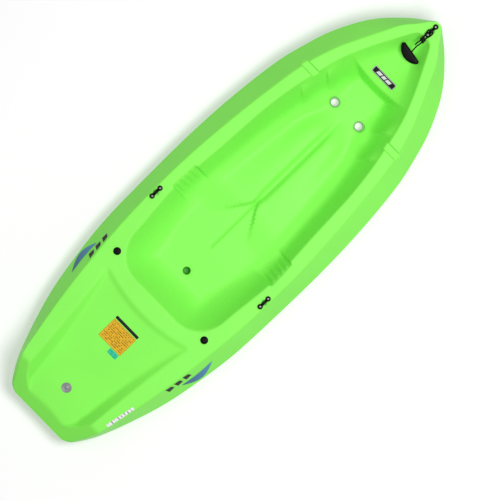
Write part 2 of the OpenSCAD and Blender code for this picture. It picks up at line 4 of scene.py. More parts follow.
import bpy
import numpy as np
from bpy.props import FloatProperty, FloatVectorProperty, IntProperty, PointerProperty
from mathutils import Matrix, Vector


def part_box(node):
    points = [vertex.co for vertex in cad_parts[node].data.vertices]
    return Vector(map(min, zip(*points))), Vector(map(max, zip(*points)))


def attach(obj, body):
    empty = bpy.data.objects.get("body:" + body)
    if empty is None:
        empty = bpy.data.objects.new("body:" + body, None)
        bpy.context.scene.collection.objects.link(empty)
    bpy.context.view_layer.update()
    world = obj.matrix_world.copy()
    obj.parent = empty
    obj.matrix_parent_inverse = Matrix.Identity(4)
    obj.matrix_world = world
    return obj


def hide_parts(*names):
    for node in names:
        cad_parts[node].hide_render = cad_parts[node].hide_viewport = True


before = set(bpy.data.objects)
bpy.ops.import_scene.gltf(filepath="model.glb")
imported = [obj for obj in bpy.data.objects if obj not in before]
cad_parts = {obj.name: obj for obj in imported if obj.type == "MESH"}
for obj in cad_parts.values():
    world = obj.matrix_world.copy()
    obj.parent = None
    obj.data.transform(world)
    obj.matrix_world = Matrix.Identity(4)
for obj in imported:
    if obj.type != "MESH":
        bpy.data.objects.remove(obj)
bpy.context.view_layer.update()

bl_info = {
    "name": "Sit-on-top kayak",
    "version": (1, 0, 0),
    "blender": (4, 5, 0),
    "location": "View3D > Sidebar > Kayak",
    "description": "Builds the hull skin, fittings, toggle, plugs and labels of a youth kayak",
    "category": "Add Mesh",
}

# ---------------------------------------------------------------- the hull's lines
MM = 0.001


def box_of(node):
    """A CAD node's lowest and highest corners."""
    return [np.array(c, float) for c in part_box(node)]


# Drawn in millimetres from the transom, the middle and the lowest point; scaled to the frame's hull.
DRAWN = (1830.0, 624.0, 221.6)
HULL_LOW, HULL_HIGH = box_of("hull_shell")
SCALE = (HULL_HIGH - HULL_LOW) / np.array(DRAWN)

WIDEST = ((0, 108), (8, 127), (20, 141), (46, 159), (92, 185), (185, 221), (320, 262), (460, 288),
          (600, 305), (780, 311), (1000, 312), (1190, 303), (1370, 283), (1465, 261), (1556, 233),
          (1647, 190), (1700, 155), (1740, 120), (1784, 74), (1815, 34), (1830, 11))
CREASE = ((0, 100), (60, 150), (105, 178), (200, 199), (300, 218), (400, 233), (510, 246),
          (620, 256), (730, 262), (840, 264), (950, 262), (1055, 256), (1165, 247), (1275, 235),
          (1380, 221), (1450, 206), (1500, 191), (1550, 173), (1600, 150), (1680, 112),
          (1740, 82), (1780, 50), (1815, 24), (1830, 9))
INNER = ((0, 96), (60, 136), (100, 142), (200, 151), (300, 161), (400, 172), (500, 186),
         (542, 196), (600, 200), (650, 205), (700, 209), (760, 215), (840, 221), (950, 216),
         (1050, 209), (1150, 204), (1250, 197), (1350, 183), (1450, 162), (1500, 150),
         (1550, 134), (1600, 113), (1640, 94), (1700, 63), (1740, 42), (1768, 26),
         (1800, 16), (1830, 6))
RAIL_Z = ((0, 170), (500, 176), (900, 180), (1300, 190), (1600, 206), (1770, 220), (1830, 221))
WIDEST_Z = ((0, 88), (500, 86), (1000, 90), (1400, 102), (1650, 126), (1830, 168))
KEEL_Z = ((0, 30), (60, 22), (200, 12), (400, 9), (900, 9), (1200, 9), (1400, 18),
          (1550, 40), (1680, 74), (1760, 108), (1830, 152))
FULLNESS = ((0, 4), (300, 5), (1100, 5), (1500, 3), (1830, 1.5))
FLOOR_Z = ((540, 68), (620, 63), (700, 60), (800, 59), (1000, 56), (1200, 51), (1415, 45),
           (1480, 46), (1530, 50))
FLAT_Y = ((540, 110), (700, 120), (900, 128), (1050, 122), (1210, 106), (1300, 94),
          (1400, 60), (1540, 58))
SIDE_K = ((540, 0.30), (760, 0.30), (950, 0.34), (1100, 0.46), (1300, 0.55), (1540, 0.5))
WALL_K = ((540, 1.55), (640, 1.8), (800, 2.1), (1000, 2.3), (1400, 2.2), (1600, 1.9), (1800, 1.8))
ROUND_R = ((540, 100), (700, 80), (860, 44), (950, 27), (1050, 24), (1300, 22), (1500, 26),
           (1800, 22))
BOW_Z = ((1530, 106), (1560, 116), (1650, 142), (1720, 158), (1780, 172), (1830, 180))
TRAY_K = ((0, 1.4), (100, 1.35), (300, 0.95), (480, 0.8))
MOUND_Y = ((880, 82), (900, 70), (945, 42), (990, 17), (1040, 21), (1300, 21), (1400, 16))
MOUND_W = ((880, 9), (980, 10), (1010, 19), (1400, 19))
MOUND_DIP = ((900, 0), (1000, 0.1), (1150, 0.45), (1300, 1), (1400, 1))

SCUPPER = (1415, 55.5)
DIMPLE_X = 680
TRAY_START, TRAY_FRONT, TRAY_Z, TRAY_RISE = 45, 478, 118, 0.115
COCKPIT_BACK, COCKPIT_FRONT, BULKHEAD = 542, 1766, (1526, 1552)
FINGERS_X, NOTCH_X = 892, 1430
FOOT_RESTS = (((1384, 182), (1336, 126)), ((1474, 152), (1430, 98)))
EYE_DIMPLE = 14
EYES = {"left_pad_eye": (789, 252), "right_pad_eye": (789, -252), "bow_pad_eye": (1796, 0)}
PLUGS = {"left_plug": (564, 203), "right_plug": (564, -203)}
STATION_GAPS = ((0, 2.2), (30, 3), (110, 6), (440, 6), (462, 3), (515, 3), (535, 2.6), (600, 4),
                (740, 4), (765, 2.4), (815, 2.4), (836, 2), (950, 2), (975, 5), (1300, 5),
                (1320, 2.6), (1410, 2.6), (1414, 1.7), (1446, 1.7), (1475, 3), (1520, 2.2),
                (1562, 2.5), (1640, 5), (1740, 4), (1760, 2), (1830, 1.2))


def curve(table, x):
    """Smooth curve through a table of points."""
    t = np.array(table, float)
    px, py = t[:, 0], t[:, 1]
    slope = np.empty(len(px))
    slope[1:-1] = (py[2:] - py[:-2]) / (px[2:] - px[:-2])
    slope[0] = (py[1] - py[0]) / (px[1] - px[0])
    slope[-1] = (py[-1] - py[-2]) / (px[-1] - px[-2])
    x = np.clip(x, px[0], px[-1])
    i = np.clip(np.searchsorted(px, x, side="right") - 1, 0, len(px) - 2)
    h = px[i + 1] - px[i]
    s = (x - px[i]) / h
    near = (2 * s**3 - 3 * s**2 + 1) * py[i] + (s**3 - 2 * s**2 + s) * h * slope[i]
    far = (3 * s**2 - 2 * s**3) * py[i + 1] + (s**3 - s**2) * h * slope[i + 1]
    return near + far


def ease(a, b, x):
    t = np.clip((x - a) / (b - a), 0, 1)
    return t * t * (3 - 2 * t)


def soft_min(a, b, k):
    h = np.clip(0.5 + 0.5 * (b - a) / k, 0, 1)
    return b + (a - b) * h - k * h * (1 - h)


def soft_max(a, b, k):
    return -soft_min(-a, -b, k)


def plateau(d, half, flank):
    return ease(-half - flank, -half, d) * (1 - ease(half, half + flank, d))


def corner(a, b, r):
    """Distance inside a corner of radius r, from the distances to its two sides."""
    inside = (a < r) & (b < r)
    arc = r - np.sqrt(np.maximum(r - a, 0) ** 2 + np.maximum(r - b, 0) ** 2)
    return np.where(inside, arc, np.minimum(a, b))


def cos_slope(table, x):
    d = (curve(table, x + 2) - curve(table, x - 2)) / 4
    return 1 / np.sqrt(1 + d * d)


def foot_step(x, y, outer, inner):
    """Step in the side wall for a foot, along a line from its outer to its inner end."""
    (ax, ay), (bx, by) = outer, inner
    dx, dy = bx - ax, by - ay
    n = math.hypot(dx, dy)
    t = ((x - ax) * dx + (y - ay) * dy) / n / n
    q = ((x - ax) * -dy + (y - ay) * dx) / n
    return 25 * ease(-8, 0, q) * (1 - ease(0, 60, q)) * (1 - ease(0.4, 1.15, t))


def seat_floor(x, y):
    flat = curve(FLAT_Y, x)
    edge, width = curve(MOUND_Y, x), curve(MOUND_W, x)
    hollow = curve(MOUND_DIP, x) * ease(0.25, 1, (y - edge) / np.maximum(flat - edge, 5))
    mound = 16 * ease(862, 985, x) * (1 - ease(1290, 1400, x)) * ease(edge - width, edge, y)
    rise = curve(SIDE_K, x) * (np.sqrt(np.maximum(y - flat, 0) ** 2 + 36) - 6)
    groove = 4.2 * ease(775, 800, x) * (1 - ease(985, 1015, x)) * np.exp(-((y / 3.8) ** 2))
    return curve(FLOOR_Z, x) + rise + mound * (1 - hollow) - groove


def cockpit(x, y, rail):
    k = ease(*BULKHEAD, x - 0.0006 * y * y)
    floor = seat_floor(x, y) * (1 - k) + (curve(BOW_Z, x) + 0.0042 * y * y) * k
    pocket = plateau(x - FINGERS_X, 46, 8)
    side = (curve(INNER, x) + 9 * pocket - y) * cos_slope(INNER, x)
    d = corner(corner(side, x - COCKPIT_BACK, 100), COCKPIT_FRONT - x, 14)
    ridges = 0.5 - 0.5 * np.cos(2 * np.pi * (x - FINGERS_X + 42) / 21)
    fingers = 9 * plateau(x - FINGERS_X, 40, 6) * ease(2, 9, d) * (1 - ease(26, 44, d)) * ridges
    steps = sum(foot_step(x, y, *rest) for rest in FOOT_RESTS)
    wall = rail - curve(WALL_K, x) * d
    return soft_max(floor, wall, curve(ROUND_R, x)) + fingers + steps * (1 - k) * ease(0, 34, d)


def tray(x, y, rail):
    side = (curve(INNER, x) - y) * cos_slope(INNER, x)
    d = corner(side, TRAY_FRONT + 27 * (y / 178) ** 2 - x, 14)
    return soft_max(TRAY_Z + (x - TRAY_START) * TRAY_RISE, rail - curve(TRAY_K, x) * d, 7)


def pads(x, y, z):
    """Flat pads under the pad eyes, each with a dimple under the bridge, and the plugs' discs."""
    for ex, ey in EYES.values():
        top = float(curve(RAIL_Z, ex)) + 0.8
        away = np.hypot(np.maximum(np.abs(x - ex) - 18, 0), y - abs(ey))
        z = soft_max(z, top - np.maximum(away - 9.6, 0) * 2.4, 1.2)
        bowl = np.sqrt(np.maximum(EYE_DIMPLE**2 - (x - ex) ** 2, 0))
        dimple = top + 9.4 - bowl + 0.03 * (y - abs(ey)) ** 2
        z = np.where(np.abs(x - ex) < EYE_DIMPLE, soft_min(z, dimple, 1.0), z)
    for ex, ey in PLUGS.values():
        away = np.hypot(x - ex, y - abs(ey))
        disc = float(curve(RAIL_Z, ex)) + 0.4 - np.maximum(away - 14, 0)
        z = np.where(away < 20, soft_max(z, disc, 1), z)
    return z


def deck(x, y):
    """Height of the deck, in drawn millimetres, over any point of the plan."""
    x, y = np.asarray(x, float), np.abs(np.asarray(y, float))
    rail, low = curve(RAIL_Z, x), curve(WIDEST_Z, x)
    wide, crease = curve(WIDEST, x), curve(CREASE, x)
    side = low + (rail - low) * (wide - y) / (wide - crease)
    stern = low + 0.8 * (x - 6 * np.maximum(0, 1 - (y / 95) ** 2) ** 2)
    notched = rail - 10 * plateau(x - NOTCH_X, 11, 3)
    top = soft_min(soft_min(notched, cockpit(x, y, rail), 6), tray(x, y, rail), 5)
    z = soft_min(soft_min(side, stern, 12), top, 5)
    lip = np.hypot(x - DIMPLE_X, y)
    z = z - 2.2 * (1 - ease(12, 22, lip))
    lip = np.hypot(x - SCUPPER[0], y - SCUPPER[1])
    z = z - 1.6 * (1 - ease(17, 25, lip))
    return pads(x, y, z)


def place(x, y, z):
    """Drawn millimetres to the frame's metres."""
    p = np.stack(np.broadcast_arrays(x, y, z), -1).astype(float)
    low = np.array([HULL_LOW[0], 0, 0])
    return low + p * SCALE


def frame_x(x):
    return float(HULL_LOW[0] + x * SCALE[0])


def frame_y(y):
    return float(y * SCALE[1])


# ---------------------------------------------------------------- small modelling helpers
def deselect():
    if bpy.context.mode != "OBJECT":
        bpy.ops.object.mode_set(mode="OBJECT")
    bpy.ops.object.select_all(action="DESELECT")


def only(obj):
    deselect()
    obj.select_set(True)
    bpy.context.view_layer.objects.active = obj
    return obj


def named(name):
    obj = bpy.context.view_layer.objects.active
    obj.name = obj.data.name = name
    return obj


def settle(obj):
    """Puts the place, turn and size into the mesh."""
    only(obj)
    bpy.ops.object.transform_apply(location=True, rotation=True, scale=True)
    return obj


def modify(obj, kind, **settings):
    only(obj)
    m = obj.modifiers.new(kind.title(), kind)
    for key, value in settings.items():
        setattr(m, key, value)
    bpy.ops.object.modifier_apply(modifier=m.name)
    return obj


def smooth(obj, degrees):
    only(obj)
    bpy.ops.object.shade_smooth_by_angle(angle=math.radians(degrees))
    return obj


def joined(name, objs):
    only(objs[0])
    for o in objs:
        o.select_set(True)
    bpy.ops.object.join()
    return named(name)


def cut(obj, tool):
    modify(obj, "BOOLEAN", operation="DIFFERENCE", solver="EXACT", object=tool)
    bpy.data.objects.remove(tool)
    return obj


def outwards(obj, merge=1e-5, fills=0):
    """Merges close points, fills open edges and turns the faces outwards."""
    only(obj)
    bpy.ops.object.mode_set(mode="EDIT")
    bpy.ops.mesh.select_all(action="SELECT")
    bpy.ops.mesh.remove_doubles(threshold=merge)
    bpy.ops.mesh.select_mode(type="EDGE")
    for _ in range(fills):
        bpy.ops.mesh.select_all(action="DESELECT")
        bpy.ops.mesh.select_non_manifold(extend=False)
        bpy.ops.mesh.fill_holes(sides=0)
    bpy.ops.mesh.select_all(action="SELECT")
    bpy.ops.mesh.normals_make_consistent(inside=False)
    bpy.ops.object.mode_set(mode="OBJECT")
    return obj


def sheet_of(name, shape, columns, rows):
    """A primitive grid whose points are moved by shape(u, v), u and v from 0 to 1."""
    deselect()
    bpy.ops.mesh.primitive_grid_add(x_subdivisions=columns, y_subdivisions=rows, size=1)
    obj = named(name)
    co = np.empty(len(obj.data.vertices) * 3)
    obj.data.vertices.foreach_get("co", co)
    co = co.reshape(-1, 3)
    obj.data.vertices.foreach_set("co", shape(co[:, 0] + 0.5, co[:, 1] + 0.5).ravel())
    obj.data.update()
    return obj


def lathe(name, profile, at, steps=48):
    """Turns a profile of (radius, height) points, in metres, about a vertical axis."""
    n = len(profile) - 1
    r, h = (np.array([p[k] for p in profile]) for k in (0, 1))

    def shape(u, v):
        i = v * n
        rr, hh = np.interp(i, range(n + 1), r), np.interp(i, range(n + 1), h)
        a = 2 * np.pi * u
        return np.stack([at[0] + rr * np.cos(a), at[1] + rr * np.sin(a), at[2] + hh], -1)

    return smooth(outwards(sheet_of(name, shape, steps, n)), 40)


def sweep(name, points, radius, sides=12, taper=None):
    """A round tube along points, with a UV map that runs in metres along it."""
    p = np.array(points, float)
    seg = np.linalg.norm(np.diff(p, axis=0), axis=1)
    run = np.concatenate([[0], np.cumsum(seg)])
    t = np.gradient(p, axis=0)
    t /= np.linalg.norm(t, axis=1, keepdims=True)
    u = np.cross(t[0], [0.13, 0.2, 1.0])
    frames = []
    for k in range(len(p)):
        u = u - t[k] * np.dot(u, t[k])
        u /= np.linalg.norm(u)
        frames.append((u, np.cross(t[k], u)))
    r = radius * (np.ones(len(p)) if taper is None else np.asarray(taper))
    rings = len(p) - 1
    fu, fv = np.array([f[0] for f in frames]), np.array([f[1] for f in frames])

    def shape(a, b):
        k = np.rint(b * rings).astype(int)
        ang = 2 * np.pi * a
        return p[k] + r[k, None] * (np.cos(ang)[:, None] * fu[k] + np.sin(ang)[:, None] * fv[k])

    obj = sheet_of(name, shape, sides, rings)
    uv = obj.data.uv_layers.active or obj.data.uv_layers.new(name="UVMap")
    flat = np.empty(len(uv.data) * 2)
    uv.data.foreach_get("uv", flat)
    flat = flat.reshape(-1, 2)
    flat[:, 1] = np.interp(flat[:, 1] * rings, range(rings + 1), run)
    uv.data.foreach_set("uv", flat.ravel())
    return smooth(outwards(obj, 1e-6, 1), 50)


def spline(points, per):
    """Round curve through given points."""
    p = np.array(points, float)
    ext = np.vstack([2 * p[0] - p[1], p, 2 * p[-1] - p[-2]])
    out = []
    for i in range(1, len(ext) - 2):
        a, b, c, d = ext[i - 1:i + 3]
        for s in np.arange(per) / per:
            out.append(0.5 * (2 * b + (c - a) * s + (2 * a - 5 * b + 4 * c - d) * s**2
                              + (3 * b - a - 3 * c + d) * s**3))
    out.append(p[-1])
    return np.array(out)


def mm(points):
    """Points in millimetres as metres."""
    return [tuple(c * MM for c in p) for p in points]


def clad(obj, material, body, slot, *nodes):
    """Gives a finished piece its finish and its body, and hides the CAD nodes that it stands for."""
    obj.data.materials.clear()
    obj.data.materials.append(material)
    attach(obj, body)
    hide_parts(*nodes)


# ---------------------------------------------------------------- shader maths
def rgb(color):
    """A colour with full alpha."""
    return (*color[:3], 1.0)


def shade(color, k):
    """A colour made darker or lighter by a factor."""
    return tuple(min(1.0, c * k) for c in color[:3]) + (1.0,)


def maths(operation, reflected=False):
    """A method that adds one Math node, its two values in turn or the other way round."""

    def method(self, other=0.0):
        first, second = (other, self) if reflected else (self, other)
        return self.mat.node("ShaderNodeMath", {"operation": operation}, {0: first, 1: second})

    return method


class Val:
    """A shader socket that takes part in Python expressions."""

    def __init__(self, mat, socket):
        self.mat, self.socket = mat, socket

    __add__, __radd__ = maths("ADD"), maths("ADD", True)
    __sub__, __rsub__ = maths("SUBTRACT"), maths("SUBTRACT", True)
    __mul__, __rmul__ = maths("MULTIPLY"), maths("MULTIPLY", True)
    __gt__, __lt__ = maths("GREATER_THAN"), maths("LESS_THAN")
    __pow__, __abs__, sine = maths("POWER"), maths("ABSOLUTE"), maths("SINE")
    max, min = maths("MAXIMUM"), maths("MINIMUM")

    def ramp(self, low, high, a=0.0, b=1.0):
        ends = {"From Min": low, "From Max": high, "To Min": a, "To Max": b}
        return self.mat.node("ShaderNodeMapRange", {"clamp": True}, {"Value": self, **ends}, "Result")


class Finish:
    """A material on one Principled shader."""

    def __init__(self, name, color, roughness, **fixed):
        self.mat = bpy.data.materials.new(name)
        self.mat.use_nodes = True
        self.tree = self.mat.node_tree
        self.bsdf = self.tree.nodes["Principled BSDF"]
        self.mat.diffuse_color = rgb(color)
        self.set("Base Color", rgb(color))
        self.set("Roughness", roughness)
        for key, value in fixed.items():
            self.set(key.replace("_", " "), value)

    def set(self, socket, value):
        self.link(value, self.bsdf.inputs[socket])
        return self

    def link(self, value, target):
        if isinstance(value, Val):
            self.tree.links.new(value.socket, target)
        else:
            target.default_value = value

    def node(self, kind, settings=None, inputs=None, out=0):
        n = self.tree.nodes.new(kind)
        for key, value in (settings or {}).items():
            setattr(n, key, value)
        for key, value in (inputs or {}).items():
            self.link(value, n.inputs[key])
        return Val(self, n.outputs[out])

    def place(self, output="Object"):
        return self.node("ShaderNodeTexCoord", out=output)

    def parts(self, vector):
        n = self.tree.nodes.new("ShaderNodeSeparateXYZ")
        self.link(vector, n.inputs[0])
        return [Val(self, n.outputs[k]) for k in range(3)]

    def noise(self, vector, scale, detail=3.0, rough=0.5):
        ins = {"Vector": vector, "Scale": scale, "Detail": detail, "Roughness": rough}
        return self.node("ShaderNodeTexNoise", None, ins, "Fac")

    def cells(self, vector, scale):
        return self.node("ShaderNodeTexVoronoi", None, {"Vector": vector, "Scale": scale}, "Distance")

    def mix(self, factor, a, b):
        pick = {"data_type": "RGBA"}
        return self.node("ShaderNodeMix", pick, {0: factor, 6: a, 7: b}, 2)

    def bump(self, height, strength, distance):
        ins = {"Height": height, "Strength": strength, "Distance": distance}
        self.set("Normal", self.node("ShaderNodeBump", None, ins, "Normal"))


def moulded(name, color, roughness, grain, depth, **fixed):
    """Moulded plastic with a fine grain, faint clouding and rubbed patches."""
    m = Finish(name, color, roughness, **fixed)
    at = m.place()
    cloud = m.noise(at, 7, 3).ramp(0.3, 0.7)
    m.set("Base Color", m.mix(cloud, shade(color, 0.94), shade(color, 1.05)))
    rub = m.noise(at, 45, 4, 0.6).ramp(0.4, 0.75)
    m.set("Roughness", roughness - 0.05 + rub * 0.14)
    m.bump(m.noise(at, grain, 2) + m.noise(at, grain * 0.22, 2) * 0.6, 0.35, depth)
    return m.mat


# SCUFF is the bottom's real wear; the other two colours are painted shade: grey for the drains' rims,
# dark green for the seat's dimple and the eyes' hollows
SCUFF, RIM_SHADE, PIT_SHADE = (0.42, 0.62, 0.30, 1), (0.20, 0.26, 0.18, 1), (0.03, 0.26, 0.02, 1)


def hull_plastic(color, roughness, grain_depth):
    """Blow-moulded polyethylene: clouded colour, pebbled skin, flow lines and light scuffs, with
    painted shade at the drains' rims, in the seat's dimple and under the eyes' bridges.
    """
    m = Finish("hull_plastic", color, roughness, Specular_IOR_Level=0.14)
    at = m.place()
    x, y, z = m.parts(at)
    cloud = m.noise(at, 3.5, 4).ramp(0.3, 0.7)
    tone = m.mix(cloud, shade(color, 0.955), shade(color, 1.03))
    fine = m.noise(at, 260, 3).ramp(0.42, 0.62)
    tone = m.mix(fine * 0.10, tone, shade(color, 1.12))
    # scuffs gather low on the bottom, where it is dragged
    low = z.ramp(0.0, 0.05, 1.0, 0.0)
    drag = m.node("ShaderNodeMapping", None, {"Vector": at, "Scale": (1.2, 40.0, 12.0)}, "Vector")
    scratch = m.noise(drag, 9, 5, 0.7).ramp(0.6, 0.72) * low
    tone = m.mix(scratch * 0.55, tone, SCUFF)
    # the drains' cut rims get a painted grey shade ring, and painted shade darkens the seat's dimple
    # and the hollows under the eyes' bridges;
    # they are placed in plan only, so they show on the bottom below as well
    dx, dy = x - frame_x(SCUPPER[0]), abs(y) - frame_y(SCUPPER[1])
    away = (dx * dx + dy * dy) ** 0.5
    # painted shade: a grey ring on each drain's flared rim, standing in for the shade of its steep wall
    rim = away.ramp(0.0125, 0.0135) * away.ramp(0.0165, 0.0185, 1.0, 0.0)
    tone = m.mix(rim * 0.85, tone, RIM_SHADE)
    # painted shade: the seat's dimple darkened as if in shadow
    dx = x - frame_x(DIMPLE_X)
    pit_shade = ((dx * dx + y * y) ** 0.5).ramp(0.0100, 0.0135, 1.0, 0.0)
    # painted shade under each eye's bridge, on both sides through abs(y)
    for ex, ey in (EYES["left_pad_eye"], EYES["bow_pad_eye"]):
        dx, dy = x - frame_x(ex), (abs(y) - frame_y(ey)) * 0.62
        pit_shade = pit_shade.max(((dx * dx + dy * dy) ** 0.5).ramp(0.0040, 0.0078, 0.7, 0.0))
    tone = m.mix(pit_shade * 0.8, tone, PIT_SHADE)
    m.set("Base Color", tone)
    m.set("Roughness", roughness - 0.04 + m.noise(at, 30, 4, 0.6) * 0.10 + scratch * 0.3)
    pebble = m.cells(at, 420) * 0.5 + m.noise(at, 700, 2) * 0.8
    wave = m.noise(at, 16, 2) * 2.0
    m.bump(pebble + wave - scratch * 0.6, 0.28, grain_depth)
    return m.mat


def braid(name, color, count=14, pitch=0.006):
    """Braided cord: two sets of strands crossing, on the cord's own UV map."""
    m = Finish(name, color, 0.62, Specular_IOR_Level=0.15)
    u, v, _ = m.parts(m.place("UV"))
    around, along = u * (math.pi * count), v * (2 * math.pi / pitch)
    strands = (around + along).sine().max((around - along).sine())
    # painted shade and highlight: the colour follows the strands' relief, dark in the grooves between
    # strands and light on their crests
    m.set("Base Color", m.mix(strands.ramp(-0.2, 1), shade(color, 0.45), shade(color, 1.7)))
    m.set("Roughness", strands.ramp(-1, 1, 0.85, 0.55))
    m.bump(strands, 0.8, 0.0004)
    return m.mat


def steel(name):
    m = Finish(name, (0.18, 0.18, 0.175), 0.38, Metallic=1.0)
    at = m.place()
    streak = m.node("ShaderNodeMapping", None, {"Vector": at, "Scale": (9.0, 1.0, 1.0)}, "Vector")
    grain = m.noise(streak, 900, 3)
    m.set("Base Color", m.mix(grain, (0.10, 0.10, 0.096, 1), (0.22, 0.218, 0.21, 1)))
    m.set("Roughness", grain.ramp(0.2, 0.8, 0.26, 0.46))
    m.bump(grain, 0.2, 0.00005)
    return m.mat


def print_film(name, low, high, span=(0.0, 1.0)):
    """Printed film whose colour runs from low to high along the hull, with a fine screen."""
    roughness = 0.34
    m = Finish(name, low, roughness, Specular_IOR_Level=0.12)
    at = m.place()
    run = m.parts(at)[0].ramp(*span)
    speck = m.noise(at, 1500, 2)
    m.set("Base Color", m.mix(speck * 0.12, m.mix(run, rgb(low), rgb(high)), shade(low, 0.7)))
    m.set("Roughness", roughness - 0.04 + m.noise(at, 60, 3) * 0.12)
    m.bump(speck, 0.12, 0.00004)
    return m.mat


# ---------------------------------------------------------------- sizes and colours a user may change
class KayakSizes(bpy.types.PropertyGroup):
    """Sizes of the new pieces. The defaults are those of the frame."""
    grain_depth: FloatProperty(name="Grain depth", description="Depth of the hull's pebbled skin",
                               default=0.00022, min=0.0, max=0.001, unit="LENGTH")
    film: FloatProperty(name="Film thickness", description="Thickness of a label or graphic",
                        default=0.0003, min=0.0001, max=0.001, unit="LENGTH")
    cord: FloatProperty(name="Cord diameter", description="Diameter of the toggle's cord",
                        default=0.0045, min=0.003, max=0.006, unit="LENGTH")
    knot_turns: IntProperty(name="Knot turns", description="Turns of cord round the barrel knot",
                            default=4, min=3, max=5)
    floor: FloatProperty(name="Floor width", description="Width of the studio floor",
                         default=14.0, min=4.0, max=40.0, unit="LENGTH")
    camera_height: FloatProperty(name="Camera height", description="Height of the overhead camera",
                        default=16.0, min=3.0, max=40.0, unit="LENGTH")


def colour(name, text, value):
    return FloatVectorProperty(name=name, description=text, default=value, size=3, min=0.0,
                               max=1.0, subtype="COLOR")


class KayakColours(bpy.types.PropertyGroup):
    """Colours of the finishes."""
    hull: colour("Hull", "Blow-moulded polyethylene of the hull", (0.225, 0.83, 0.093))
    nylon: colour("Nylon", "Moulded nylon of eyes and plugs", (0.003, 0.003, 0.0033))
    rubber: colour("Rubber", "Soft rubber of the grip", (0.0035, 0.0035, 0.004))
    rope: colour("Cord", "Braided cord", (0.006, 0.006, 0.007))
    orange: colour("Label", "Large deck label", (0.72, 0.42, 0.02))
    turquoise: colour("Small label", "Small deck label", (0.035, 0.56, 0.33))
    blue: colour("Graphic", "Wave graphic on the sides", (0.045, 0.15, 0.27))


# ---------------------------------------------------------------- the hull
def across(x):
    """Places across the hull: dense at the centre groove, the walls, the rail and its crease."""
    wide, crease, inner = curve(WIDEST, x), curve(CREASE, x), curve(INNER, x)
    out = [np.zeros_like(x)]
    for t in (0.008, 0.017, 0.027, 0.040, 0.058, 0.080, 0.105, 0.135, 0.170, 0.205, 0.240, 0.275,
              0.310, 0.345, 0.380, 0.415, 0.450, 0.485, 0.520, 0.555, 0.590, 0.625, 0.660, 0.690,
              0.720, 0.750, 0.780, 0.808, 0.836, 0.864, 0.890, 0.914, 0.936, 0.956, 0.973, 0.988):
        out.append(inner * t)
    rail = crease - inner
    for t in (0.0, 0.06, 0.13, 0.20, 0.28, 0.36, 0.44, 0.52, 0.60, 0.68, 0.76, 0.83, 0.89, 0.94,
              0.975, 1.0):
        out.append(inner + rail * t)
    wall = wide - crease
    for t in (0.045, 0.10, 0.18, 0.30, 0.44, 0.58, 0.72, 0.85, 1.0):
        out.append(crease + wall * t)
    side = np.stack(out, -1)
    return np.concatenate([-side[:, :0:-1], side], -1)


UNDER = (0, 0.07, 0.14, 0.20, 0.25, 0.28, 0.295, 0.31, 0.34, 0.37, 0.40, 0.43, 0.445, 0.46, 0.50,
         0.56, 0.62, 0.68, 0.74, 0.79, 0.835, 0.87, 0.90, 0.925, 0.945, 0.96, 0.975, 0.988, 1.0)


def stations():
    """Stations along the hull, close together where the shape turns quickly."""
    at, gap = np.array(STATION_GAPS, float).T
    x = [0.0]
    while x[-1] < DRAWN[0]:
        x.append(x[-1] + float(np.interp(x[-1], at, gap)))
    return np.array(x) * DRAWN[0] / x[-1]


def hull_points():
    """Rows of points round the deck and under the bottom, one row to a station."""
    x = stations()
    y = across(x)
    xs = np.repeat(x[:, None], y.shape[1], 1)
    z = deck(xs, y)
    z[:, 0] = z[:, -1]
    s = np.array(UNDER)
    s = np.concatenate([-s[:0:-1], s])[None, :]
    wide, keel, edge = curve(WIDEST, x)[:, None], curve(KEEL_Z, x)[:, None], z[:, -1:]
    low = keel + (edge - keel) * np.abs(s) ** curve(FULLNESS, x)[:, None]
    on = (ease(50, 180, x) * (1 - ease(1250, 1420, x)))[:, None]
    low = low * (1 - plateau(np.abs(s) - 0.37, 0.06, 0.02) * on)
    under = (np.repeat(x[:, None], s.shape[1], 1), s * wide, low)
    return (xs, y, z), under


def skin(name, rows):
    """A primitive grid laid over rows of points."""
    x, y, z = rows
    n, m = x.shape
    pts = place(x, y, z)

    def shape(u, v):
        i, k = np.rint(v * (n - 1)).astype(int), np.rint(u * (m - 1)).astype(int)
        return pts[i, k]

    return sheet_of(name, shape, m - 1, n - 1)


DRAIN = ((0, -8), (14.5, -8), (14.5, 1.0), (13.0, 3.5), (13.0, 38.6), (13.5, 40.2), (14.8, 41.0),
         (17.2, 41.0), (18.2, 41.8), (18.8, 43.5), (21, 49), (24, 70), (24, 90), (0, 90))
DIMPLE = ((0, 19), (8.6, 19), (10.0, 21), (13.2, 56), (14.0, 59), (15.6, 61.2), (18, 66), (18, 80),
          (0, 80))


def turned(name, profile, x, y):
    """A closed turned cutter through the hull, its profile in drawn millimetres."""
    return lathe(name, mm(profile), tuple(place(x, y, 0)), 64)


class KAYAK_OT_hull(bpy.types.Operator):
    """Builds the hull's skin: deck, cockpit, tray, rails, outer walls and bottom, with its drains"""
    bl_idname = "kayak.hull"
    bl_label = "Hull skin"

    def execute(self, context):
        colours = context.scene.kayak_colours
        over, under = hull_points()
        hull = outwards(joined("hull_skin", [skin("deck", over), skin("bottom", under)]), 2e-6, 2)
        for side in (1, -1):
            cut(hull, turned("drain", DRAIN, SCUPPER[0], SCUPPER[1] * side))
        cut(hull, turned("dimple", DIMPLE, DIMPLE_X, 0))
        green = hull_plastic(tuple(colours.hull), 0.42, context.scene.kayak_sizes.grain_depth)
        clad(smooth(hull, 38), green, "hull", "hull_green", "hull_shell")
        return {"FINISHED"}


# ---------------------------------------------------------------- deck fittings
def seat(node):
    """The middle of a CAD node's foot."""
    low, high = box_of(node)
    return np.array([*(low + high)[:2] / 2, low[2]])


def moved(obj, at, turn=(0, 0, 0)):
    obj.location = tuple(at)
    obj.rotation_euler = tuple(math.radians(a) for a in turn)
    return settle(obj)


def rod(name, radius, low, high, x=0.0, y=0.0, sides=40):
    """An upright cutter, in millimetres."""
    deselect()
    bpy.ops.mesh.primitive_cylinder_add(vertices=sides, radius=radius * MM, depth=(high - low) * MM,
                                        location=(x * MM, y * MM, (low + high) / 2 * MM))
    return settle(named(name))


